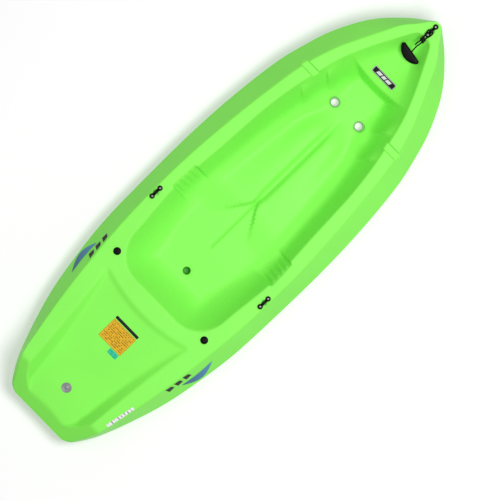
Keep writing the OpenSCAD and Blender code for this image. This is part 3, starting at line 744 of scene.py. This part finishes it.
EYE_PITCH = 18.0  # from the eye's middle to each screw
LOBE = ((2.75, 0.0), (8.3, 0.0), (8.9, 0.3), (9.0, 1.0), (9.0, 2.1), (8.75, 2.8), (8.1, 3.2),
        (5.3, 3.2), (2.95, 3.2), (2.75, 3.0), (2.75, 0.0))
STRAP = ((-13.2, 0.9), (-11.6, 2.6), (-9.8, 4.9), (-7.9, 8.2), (-6.0, 10.3), (-3.4, 11.0),
         (0, 11.05), (3.4, 11.0), (6.0, 10.3), (7.9, 8.2), (9.8, 4.9), (11.6, 2.6), (13.2, 0.9))


def strap(name):
    """The eye's bridge: a flat rounded strap bent over the rope's gap."""
    path = spline([(x, 0, z) for x, z in STRAP], 4) * MM
    run = np.linspace(0, 1, len(path))
    tangent = np.gradient(path, axis=0)
    tangent /= np.linalg.norm(tangent, axis=1, keepdims=True)
    up = np.cross(np.array([0.0, 1.0, 0.0]), tangent)
    half = 0.0048 + 0.0012 * np.abs(2 * run - 1) ** 4

    def shape(u, v):
        k = np.rint(v * (len(path) - 1)).astype(int)
        a = 2 * np.pi * u
        c, s = np.cos(a), np.sin(a)
        wide = np.sign(c) * np.abs(c) ** 0.6 * half[k]
        thick = np.sign(s) * np.abs(s) ** 0.8 * 0.0020
        return path[k] + wide[:, None] * np.array([0.0, 1.0, 0.0]) - thick[:, None] * up[k]

    return outwards(sheet_of(name, shape, 28, len(path) - 1), 1e-6, 1)


def pad_eye(name):
    """One nylon pad eye at the origin: two round lobes and the bridge between them."""
    eye = strap(name)
    for x in (-EYE_PITCH, EYE_PITCH):
        lobe = lathe("lobe", mm(LOBE), (x * MM, 0, 0), 48)
        modify(eye, "BOOLEAN", operation="UNION", solver="EXACT", object=lobe)
        bpy.data.objects.remove(lobe)
    for x in (-EYE_PITCH, EYE_PITCH):
        cut(eye, rod("head_room", 4.85, 3.2, 20, x))
        cut(eye, rod("screw_hole", 2.7, -3, 8, x))
    cut(eye, rod_box("foot_plane", (60, 40, 6), (0, 0, -3)))
    return smooth(eye, 40)


def rod_box(name, size, at, turn=0.0):
    deselect()
    bpy.ops.mesh.primitive_cube_add(size=1, location=tuple(c * MM for c in at),
                                    rotation=(0, 0, math.radians(turn)))
    obj = named(name)
    obj.scale = tuple(c * MM for c in size)
    return settle(obj)


PAN_SCREW = ((0, -16.8), (1.6, -16.3), (2.5, -14.6), (2.5, 3.2), (4.3, 3.2), (4.5, 3.4), (4.5, 3.9),
             (4.35, 4.5), (3.9, 5.1), (3.1, 5.55), (1.9, 5.78), (0, 5.85))


def pan_screw(name, turn):
    """A stainless pan-head screw with a cross recess."""
    screw = lathe(name, mm(PAN_SCREW), (0, 0, 0), 40)
    for a in (0, 90):
        cut(screw, rod_box("recess", (4.4, 0.95, 3.0), (0, 0, 5.6), turn + a))
    cut(screw, rod("recess_middle", 0.95, 3.7, 8, sides=16))
    return smooth(screw, 35)


class KAYAK_OT_pad_eyes(bpy.types.Operator):
    """Builds the three nylon pad eyes"""
    bl_idname = "kayak.pad_eyes"
    bl_label = "Pad eyes"

    def execute(self, context):
        nylon = moulded("nylon_black", tuple(context.scene.kayak_colours.nylon), 0.36, 1400, 0.00008,
                        Specular_IOR_Level=0.06)
        for side in ("left", "right", "bow"):
            node = f"{side}_pad_eye"
            clad(moved(pad_eye(f"{side}_eye"), seat(node)), nylon, "hull", "nylon_black", node)
        return {"FINISHED"}


class KAYAK_OT_screws(bpy.types.Operator):
    """Builds the six pan-head screws"""
    bl_idname = "kayak.screws"
    bl_label = "Screws"

    def execute(self, context):
        metal = steel("stainless_steel")
        for k, side in enumerate(("left", "right", "bow")):
            at = seat(f"{side}_pad_eye")
            pair = [moved(pan_screw("screw", 25 + 40 * k + 65 * j), at + (s * EYE_PITCH * MM, 0, 0))
                    for j, s in enumerate((-1, 1))]
            obj = smooth(joined(f"{side}_eye_screw_pair", pair), 35)
            clad(obj, metal, "hull", "stainless", f"{side}_pad_eye_screws")
        return {"FINISHED"}


FLANGE = 2.4
SOCKET = ((6.6, -16), (8.3, -16), (8.5, -15.8), (8.5, 0), (12.7, 0), (13, 0.3), (13, 1.5),
          (12.7, 2.1), (12.0, FLANGE), (10.5, FLANGE), (10.1, 2.2), (10.0, 1.9), (10.0, 0.8),
          (6.6, 0.8), (6.6, -16))
PLUG = ((0, -9.2), (6.0, -9.2), (6.5, -8.7), (6.5, 2.8), (9.1, 2.8), (9.5, 3.1), (9.5, 4.5),
        (9.25, 5.2), (8.7, 5.7), (7.8, 6.0), (0, 6.0))


def plug_seat(side):
    """The middle of a socket's flange, on the deck."""
    low, high = box_of(f"{side}_plug_socket")
    return np.array([*(low + high)[:2] / 2, high[2] - FLANGE * MM])


def deck_plug(name):
    """A screw plug with a four-lobed recess and a ribbed edge."""
    plug = lathe(name, mm(PLUG), (0, 0, 0), 64)
    for k in range(4):
        a = k * math.pi / 2
        cut(plug, rod("lobe", 2.5, 3.6, 9, 3.6 * math.cos(a), 3.6 * math.sin(a), 32))
    cut(plug, rod("hub", 2.2, 3.6, 9, sides=24))
    for k in range(24):
        a = math.radians(15 * k)
        cut(plug, rod("rib", 0.45, 3.3, 9, 9.65 * math.cos(a), 9.65 * math.sin(a), 10))
    return smooth(plug, 35)


class KAYAK_OT_plugs(bpy.types.Operator):
    """Builds the two deck plugs and their sockets"""
    bl_idname = "kayak.plugs"
    bl_label = "Deck plugs"

    def execute(self, context):
        nylon = moulded("plug_black", tuple(context.scene.kayak_colours.nylon), 0.32, 1400, 0.00006,
                        Specular_IOR_Level=0.05)
        first = deck_plug("plug_pattern")
        for side in ("left", "right"):
            at = plug_seat(side)
            ring = moved(lathe(f"{side}_socket_ring", mm(SOCKET), (0, 0, 0), 64), at)
            clad(ring, nylon, "hull", "nylon_black", f"{side}_plug_socket")
            only(first)
            bpy.ops.object.duplicate()
            plug = moved(named(f"{side}_screw_plug"), at, (0, 0, 45 if side == "left" else 20))
            clad(plug, nylon, f"{side}_plug_body", "nylon_black", f"{side}_plug")
        bpy.data.objects.remove(first)
        return {"FINISHED"}


# ---------------------------------------------------------------- the carry toggle
CORD = ((-108, -1.5, -30.5), (-100, -2, -28.5), (-90, -2.2, -24), (-80, -1.5, -16), (-70, -1, -6),
        (-60, -3, 4), (-51, -3.5, 9), (-42, -3, 10), (-32, -4.5, 9.5), (-20, -7.6, 8.5),
        (-12, -8.9, 7.4), (-8.0, -9.1, 6.6), (-4.2, -8.2, 5.7), (-0.8, -5.4, 4.4), (1.0, 0, 3.9),
        (-0.8, 5.4, 4.4), (-4.2, 8.2, 5.7), (-8.0, 9.1, 6.6), (-12, 8.9, 7.4), (-20, 7.6, 8.5),
        (-32, 4.5, 9.5), (-42, 3, 10), (-51, 4, 9), (-60, 6, 5), (-70, 6, -2))
KNOT_AT = (-41, 0, 9.6)
GRIP_AT = (-107, -1.2, -29.2)
GRIP_TURN = (0, -14, -9)
GRIP_SIZE = (98, 34, 18)


def half_moon(length, width, tip):
    """Outline of the grip: flat towards the bow, round towards the hand, with blunt tips."""
    r = ((length / 2) ** 2 + width**2) / (2 * width)
    centre, front = r - width / 2, width / 2 - 1.5
    end_y = math.sqrt((r - tip) ** 2 - (centre - front + tip) ** 2)
    end = np.array([front - tip, end_y])
    lean = math.atan2(end_y, front - tip - centre)
    arc = np.linspace(lean, 2 * math.pi - lean, 90)
    back = np.stack([centre + r * np.cos(arc), r * np.sin(arc)], -1)
    low = np.linspace(2 * math.pi - lean, 2 * math.pi, 24)
    lower = np.stack([np.cos(low), np.sin(low)], -1) * tip + end * (1, -1)
    high = np.linspace(0, lean, 24)
    upper = np.stack([np.cos(high), np.sin(high)], -1) * tip + end
    line = np.concatenate([back, lower, upper, back[:1]])
    run = np.concatenate([[0], np.cumsum(np.linalg.norm(np.diff(line, axis=0), axis=1))])
    return line, run / run[-1]


def grip_body(name, length, width, thick):
    """The half-moon grip, soft all over."""
    line, run = half_moon(length, width, 8)

    def shape(u, v):
        b = np.pi * (v - 0.5)
        rim = np.stack([np.interp(u, run, line[:, 0]), np.interp(u, run, line[:, 1])], -1)
        round_off = np.abs(np.cos(b)) ** 0.42
        height = np.sign(b) * np.abs(np.sin(b)) ** 0.62 * thick / 2
        belly = 1 - 0.16 * (np.abs(rim[:, 1]) * round_off / (length / 2)) ** 2
        return np.concatenate([rim * round_off[:, None], (height * belly)[:, None]], -1) * MM

    return outwards(sheet_of(name, shape, 144, 36), 2e-6)


def knot_path(turns):
    """A barrel knot: turns of cord round the two strands, and one pass over them."""
    half, round_r = 7.7, 7.55
    t = np.linspace(0, 1, int(turns * 22))
    a = 2 * np.pi * turns * t
    tuck = ease(0, 0.07, t) * (1 - ease(0.93, 1, t))
    rad = round_r - 3.6 * (1 - tuck)
    wraps = np.stack([-half + 2 * half * t, rad * np.cos(a), rad * np.sin(a)], -1)
    s = np.linspace(0, 1, 22)
    b = math.radians(20) + math.radians(150) * s
    over = round_r + 1.1 * np.sin(np.pi * s) ** 0.5
    cross = np.stack([half * (1.12 - 2.24 * s), over * np.cos(b), over * np.sin(b)], -1)
    return wraps, cross


class KAYAK_OT_toggle(bpy.types.Operator):
    """Builds the bow's carry toggle: grip, braided cord and barrel knot"""
    bl_idname = "kayak.toggle"
    bl_label = "Carry toggle"

    def execute(self, context):
        sizes, colours = context.scene.kayak_sizes, context.scene.kayak_colours
        eye = seat("bow_pad_eye")
        rope = braid("cord_braid", tuple(colours.rope))
        path = eye + spline(CORD, 6) * MM
        r = sizes.cord / 2
        ends = np.ones(len(path))
        ends[-1] = 0.8
        cord = sweep("bow_cord", path, r, 16, ends)
        wraps, cross = knot_path(sizes.knot_turns - 0.75)
        at = eye + np.array(KNOT_AT) * MM
        knot = joined("barrel_knot", [sweep("wraps", at + wraps * MM, r, 12),
                                      sweep("pass", at + cross * MM, r * 0.95, 12)])
        clad(cord, rope, "toggle", "cord_black", "toggle_cord")
        clad(knot, rope, "toggle", "cord_black", "toggle_knot")
        grip = grip_body("half_moon_grip", *GRIP_SIZE)
        deselect()
        bpy.ops.mesh.primitive_cylinder_add(vertices=40, radius=0.0045, depth=0.034,
                                            location=(0.007, 0, 0), rotation=(0, math.pi / 2, 0))
        cut(grip, settle(named("tunnel")))
        moved(grip, eye + np.array(GRIP_AT) * MM, GRIP_TURN)
        rubber = moulded("grip_rubber", tuple(colours.rubber), 0.42, 700, 0.0001,
                         Specular_IOR_Level=0.08)
        clad(smooth(grip, 45), rubber, "toggle", "grip_black", "toggle_grip")
        return {"FINISHED"}


# ---------------------------------------------------------------- labels and graphics
PLATE, BIG_LABEL, LABEL_BAR = (1571, 1594, -48, 48), (330, 405, -48, 52), (408, 418, -48, 52)
SMALL_LABEL, STRIP = (310, 328, -45, -8), (141, 245, -206, -176)
INK = ((0.012, 0.012, 0.014), (0.02, 0.02, 0.022))
BADGE = ((0, 0), (16.2, 0), (17, 0.2), (17, 0.7), (16.6, 1.0), (15.2, 1.0), (14.8, 0.7), (11.6, 0.7),
         (11.2, 0.95), (10.4, 0.95), (10.0, 0.7), (5.2, 0.7), (4.6, 1.1), (0, 1.2))


def framed(place_of):
    """A rectangle of the drawn plan in the frame's metres, as (low, high) for x and for y."""
    x0, x1, y0, y1 = place_of
    return (frame_x(x0), frame_x(x1)), (frame_y(y0), frame_y(y1))


def tag(place_of, r):
    """A rectangle with round corners, on the drawn plan."""
    x0, x1, y0, y1 = place_of
    cx, cy, a, b = (x0 + x1) / 2, (y0 + y1) / 2, (x1 - x0) / 2, (y1 - y0) / 2

    def outline(u, v):
        px, py = (2 * u - 1) * a, (2 * v - 1) * b
        qx, qy = np.maximum(np.abs(px) - (a - r), 0), np.maximum(np.abs(py) - (b - r), 0)
        pull = np.maximum(qx, qy) / np.maximum(np.hypot(qx, qy), 1e-9)
        pull = np.where((qx > 0) & (qy > 0), pull, 1)
        px = np.where(qx > 0, np.sign(px) * (a - r + qx * pull), px)
        py = np.where(qy > 0, np.sign(py) * (b - r + qy * pull), py)
        return cx + px, cy + py

    return outline


def film(name, outline, columns, rows, thick, lift=0.45):
    """A thin film laid on the hull's skin."""

    def shape(u, v):
        x, y = outline(u, v)
        z = deck(x, y)
        e = 0.6
        dx = (deck(x + e, y) - deck(x - e, y)) / (2 * e)
        dy = (deck(x, y + e) - deck(x, y - e)) / (2 * e)
        n = np.stack([-dx, -dy, np.ones_like(dx)], -1)
        return place(x, y, z) + n / np.linalg.norm(n, axis=1, keepdims=True) * lift * MM

    obj = sheet_of(name, shape, columns, rows)
    if sum(p.normal.z for p in obj.data.polygons) < 0:
        only(obj)
        bpy.ops.object.mode_set(mode="EDIT")
        bpy.ops.mesh.select_all(action="SELECT")
        bpy.ops.mesh.flip_normals()
        bpy.ops.object.mode_set(mode="OBJECT")
    modify(obj, "SOLIDIFY", thickness=thick, offset=1.0)
    return smooth(obj, 40)


def between(v, low, high):
    return (v > low) * (v < high)


def lined(name, ground, ink, place_of, step, share, edge):
    """Label film with a plain rim and rows of broken dashes for small print."""
    (x0, x1), (y0, y1) = framed(place_of)
    roughness = 0.36
    m = Finish(name, ground, roughness, Specular_IOR_Level=0.15)
    at = m.place()
    x, y, _ = m.parts(at)
    rows = (x * (2 * math.pi / step)).sine() > share
    spot = m.node("ShaderNodeMapping", None, {"Vector": at, "Scale": (1 / step, 160.0, 0.0)}, "Vector")
    dashes = m.noise(spot, 1.0, 1) > 0.46
    inner = between(x, x0 + edge * 2, x1 - edge * 2) * between(y, y0 + edge * 2, y1 - edge * 2)
    rim = 1 - between(x, x0 + edge, x1 - edge) * between(y, y0 + edge, y1 - edge)
    mark = (rows * dashes * inner * 0.8 + rim * 0.35).min(1.0)
    cloud = m.noise(at, 60, 3)
    paper = m.mix(cloud, shade(ground, 0.92), shade(ground, 1.05))
    m.set("Base Color", m.mix(mark, paper, rgb(ink)))
    m.set("Roughness", roughness - 0.05 + cloud * 0.12)
    m.bump(m.noise(at, 1300, 2), 0.1, 0.00004)
    return m.mat


def plate_film(name, ground, ink):
    """Black plate with a pale rim and three pale slanted bars."""
    m = Finish(name, ground, 0.3, Specular_IOR_Level=0.15)
    at = m.place()
    x, y, _ = m.parts(at)
    (x0, x1), (_, half) = framed(PLATE)
    rim = between(x, x0 + 0.0012, x1 - 0.0012) * (abs(y) < half - 0.0012)
    rim = rim - between(x, x0 + 0.0024, x1 - 0.0024) * (abs(y) < half - 0.0024)
    run = y + (x - (x0 + x1) / 2) * 0.5
    bars = between(abs(run), 0.011, 0.029) + (abs(run) < 0.007)
    bars = bars * between(x, x0 + 0.0065, x1 - 0.0065)
    mark = (rim + bars * 0.85).min(1.0)
    m.set("Base Color", m.mix(mark, rgb(ground), rgb(ink)))
    m.set("Roughness", 0.28 + m.noise(at, 80, 3) * 0.14)
    m.bump(m.noise(at, 1300, 2), 0.1, 0.00004)
    return m.mat


class KAYAK_OT_labels(bpy.types.Operator):
    """Lays the deck's labels: bow plate, two tray labels, the bar beside them, badge and strip"""
    bl_idname = "kayak.labels"
    bl_label = "Labels"

    def execute(self, context):
        sizes, colours = context.scene.kayak_sizes, context.scene.kayak_colours
        t = sizes.film
        ink = print_film("ink_film", *INK)
        plate = film("bow_name_plate", tag(PLATE, 5), 16, 60, t)
        clad(plate, plate_film("plate_film", (0.010, 0.010, 0.012), (0.72, 0.74, 0.74)), "hull",
             "ink_black", "bow_plate")
        orange = lined("label_orange", tuple(colours.orange), (0.16, 0.07, 0.01), BIG_LABEL,
                       0.0068, 0.1, 0.0022)
        clad(film("tray_label", tag(BIG_LABEL, 3), 30, 40, t), orange, "hull", "label_orange",
             "deck_label")
        clad(film("tray_label_bar", tag(LABEL_BAR, 2), 8, 40, t), ink, "hull", "ink_black",
             "deck_label_bar")
        turquoise = lined("label_turquoise", tuple(colours.turquoise), (0.01, 0.14, 0.12),
                          SMALL_LABEL, 0.0045, 0.2, 0.0012)
        clad(film("small_tray_label", tag(SMALL_LABEL, 2), 12, 20, t), turquoise, "hull",
             "label_turquoise", "small_label")

        def strip(u, v):
            x0, x1, y0, _ = STRIP
            return x0 + (x1 - x0) * u, y0 + 19 * (1 - u) + 10.5 * v

        white = lined("strip_white", (0.74, 0.75, 0.73), (0.10, 0.11, 0.11), STRIP, 0.012, 0.55, 0.0008)
        clad(film("white_strip", strip, 40, 6, t, 0.5), white, "hull", "strip_white", "serial_strip")
        self.badge()
        return {"FINISHED"}

    def badge(self):
        """A grey disc with a raised rim and a low boss."""
        middle = sum(box_of("round_badge")) / 2
        tilt = math.degrees(math.atan(TRAY_RISE))
        obj = lathe("grey_badge", mm(BADGE), (0, 0, 0), 64)
        moved(obj, middle - (0, 0, 0.0003), (0, -tilt, 0))
        m = Finish("badge_grey", (0.20, 0.21, 0.21), 0.4, Metallic=0.25)
        at = m.place()
        grain = m.noise(at, 500, 3)
        m.set("Base Color", m.mix(grain, (0.15, 0.16, 0.16, 1), (0.30, 0.31, 0.31, 1)))
        m.set("Roughness", grain.ramp(0.2, 0.8, 0.32, 0.5))
        m.bump(grain, 0.2, 0.00006)
        clad(obj, m.mat, "hull", "badge_grey", "round_badge")


class KAYAK_OT_side_graphics(bpy.types.Operator):
    """Lays the wave and the three slanted marks on each outer wall"""
    bl_idname = "kayak.side_graphics"
    bl_label = "Side graphics"

    def execute(self, context):
        t = context.scene.kayak_sizes.film
        blue = tuple(context.scene.kayak_colours.blue)
        wave_ink = print_film("ink_blue", shade(blue, 0.75)[:3], shade(blue, 1.9)[:3],
                              (frame_x(405), frame_x(540)))
        black = print_film("mark_black", *INK)
        for side, word, first in ((1, "left", 484), (-1, "right", 359)):
            def wave(u, v, side=side):
                arch = np.sin(np.pi * u)
                y = 257 + 12 * u + 3 * arch + (0.8 + 17.2 * arch) * v
                return 410 + 124 * u, side * y

            clad(film(f"{word}_wave", wave, 60, 10, t, 0.6), wave_ink, "hull", "ink_blue",
                 f"{word}_wave_graphic")
            bars = []
            for k in range(3):
                x0 = first + 34 * k
                y0 = float(curve(CREASE, x0)) + 4

                def bar(u, v, x0=x0, y0=y0, side=side):
                    taper = 1 - 0.3 * u
                    return x0 + 22 * u + 6 * v, side * (y0 + 4.2 * u + 13 * taper * v)

                bars.append(film("bar", bar, 14, 8, t, 0.6))
            clad(joined(f"{word}_marks", bars), black, "hull", "ink_black", f"{word}_side_marks")
        return {"FINISHED"}


class KAYAK_OT_inner_parts(bpy.types.Operator):
    """Finishes the parts that keep their CAD shape: the inserts and the plugs' seals"""
    bl_idname = "kayak.inner_parts"
    bl_label = "Inserts and seals"

    def execute(self, context):
        rubber = moulded("insert_rubber", (0.035, 0.035, 0.037), 0.6, 800, 0.0001)
        soft = moulded("seal_rubber", (0.05, 0.052, 0.055), 0.5, 900, 0.00008)
        kept = {"left_inserts": rubber, "right_inserts": rubber, "bow_inserts": rubber,
                "left_plug_seal": soft, "right_plug_seal": soft}
        for node, material in kept.items():
            obj = bpy.data.objects[node]
            if not obj.material_slots:
                obj.data.materials.append(material)
            for s in obj.material_slots:
                s.material = material
        return {"FINISHED"}


# ---------------------------------------------------------------- the stage
VIEW_WIDTH = 1.631
VIEW_MIDDLE = (-0.0388, -0.0967, 0.16)
VIEW_TURN = -44.3
SENSOR = 36
GLOW = 0.36  # strength of the world's light, and of the paper's own
PAPER_LOW, PAPER_HIGH = (0.59, 0.59, 0.59, 1), (0.61, 0.61, 0.61, 1)
# name, place, diameter and power of each soft light
LIGHTS = (("key_light", (0.65, -1.05, 4.5), 1.8, 158), ("fill_light", (-0.5, 1.0, 4.4), 2.4, 24))


def soft_light(name, at, size, power):
    aim = (0.0, 0.0, 0.1)
    deselect()
    bpy.ops.object.light_add(type="AREA", location=at)
    light = bpy.context.view_layer.objects.active
    light.name = light.data.name = name
    light.data.shape = "DISK"
    light.data.size = size
    light.data.energy = power
    away = np.array(at) - np.array(aim)
    light.rotation_euler = (math.atan2(math.hypot(away[0], away[1]), away[2]), 0,
                            math.atan2(away[1], away[0]) + math.pi / 2)


class KAYAK_OT_stage(bpy.types.Operator):
    """Lays the pale floor, and sets the soft lights and the overhead camera"""
    bl_idname = "kayak.stage"
    bl_label = "Stage"

    def execute(self, context):
        sizes = context.scene.kayak_sizes
        deselect()
        bpy.ops.mesh.primitive_plane_add(size=sizes.floor, location=(0, 0, 0))
        floor = named("studio_floor")
        m = Finish("studio_paper", (0.6, 0.6, 0.6), 0.9, Emission_Color=(1, 1, 1, 1),
                   Emission_Strength=GLOW)
        m.set("Base Color", m.mix(m.noise(m.place(), 3, 2), PAPER_LOW, PAPER_HIGH))
        floor.data.materials.append(m.mat)
        world = bpy.data.worlds.new("studio")
        context.scene.world = world
        world.use_nodes = True
        sky = world.node_tree.nodes["Background"]
        sky.inputs["Color"].default_value = (1, 1, 1, 1)
        sky.inputs["Strength"].default_value = GLOW
        for light in LIGHTS:
            soft_light(*light)
        deselect()
        x, y, z = VIEW_MIDDLE
        bpy.ops.object.camera_add(location=(x, y, z + sizes.camera_height),
                                  rotation=(0, 0, math.radians(VIEW_TURN)))
        camera = bpy.context.view_layer.objects.active
        camera.name = camera.data.name = "overhead_camera"
        camera.data.sensor_width = SENSOR
        camera.data.lens = SENSOR * sizes.camera_height / VIEW_WIDTH
        camera.data.clip_end = 100
        context.scene.camera = camera
        context.scene.view_settings.view_transform = "Standard"
        return {"FINISHED"}


# ---------------------------------------------------------------- panel and registering
PIECES = (KAYAK_OT_stage, KAYAK_OT_toggle, KAYAK_OT_hull, KAYAK_OT_pad_eyes, KAYAK_OT_screws,
          KAYAK_OT_plugs, KAYAK_OT_labels, KAYAK_OT_side_graphics, KAYAK_OT_inner_parts)


class KAYAK_PT_panel(bpy.types.Panel):
    """The kayak's sizes, colours and pieces"""
    bl_idname = "KAYAK_PT_panel"
    bl_label = "Kayak"
    bl_space_type = "VIEW_3D"
    bl_region_type = "UI"
    bl_category = "Kayak"

    def draw(self, context):
        layout = self.layout
        for group in (context.scene.kayak_sizes, context.scene.kayak_colours):
            box = layout.box()
            for name in group.__annotations__:
                box.prop(group, name)
        for piece in PIECES:
            layout.operator(piece.bl_idname)


CLASSES = (KayakSizes, KayakColours, *PIECES, KAYAK_PT_panel)


def register():
    for c in CLASSES:
        bpy.utils.register_class(c)
    bpy.types.Scene.kayak_sizes = PointerProperty(type=KayakSizes)
    bpy.types.Scene.kayak_colours = PointerProperty(type=KayakColours)


def unregister():
    del bpy.types.Scene.kayak_colours
    del bpy.types.Scene.kayak_sizes
    for c in reversed(CLASSES):
        bpy.utils.unregister_class(c)


def main():
    register()
    deselect()
    bpy.ops.kayak.stage()
    bpy.ops.kayak.toggle()
    bpy.ops.kayak.hull()
    bpy.ops.kayak.pad_eyes()
    bpy.ops.kayak.screws()
    bpy.ops.kayak.plugs()
    bpy.ops.kayak.labels()
    bpy.ops.kayak.side_graphics()
    bpy.ops.kayak.inner_parts()


if __name__ == "__main__":
    main()
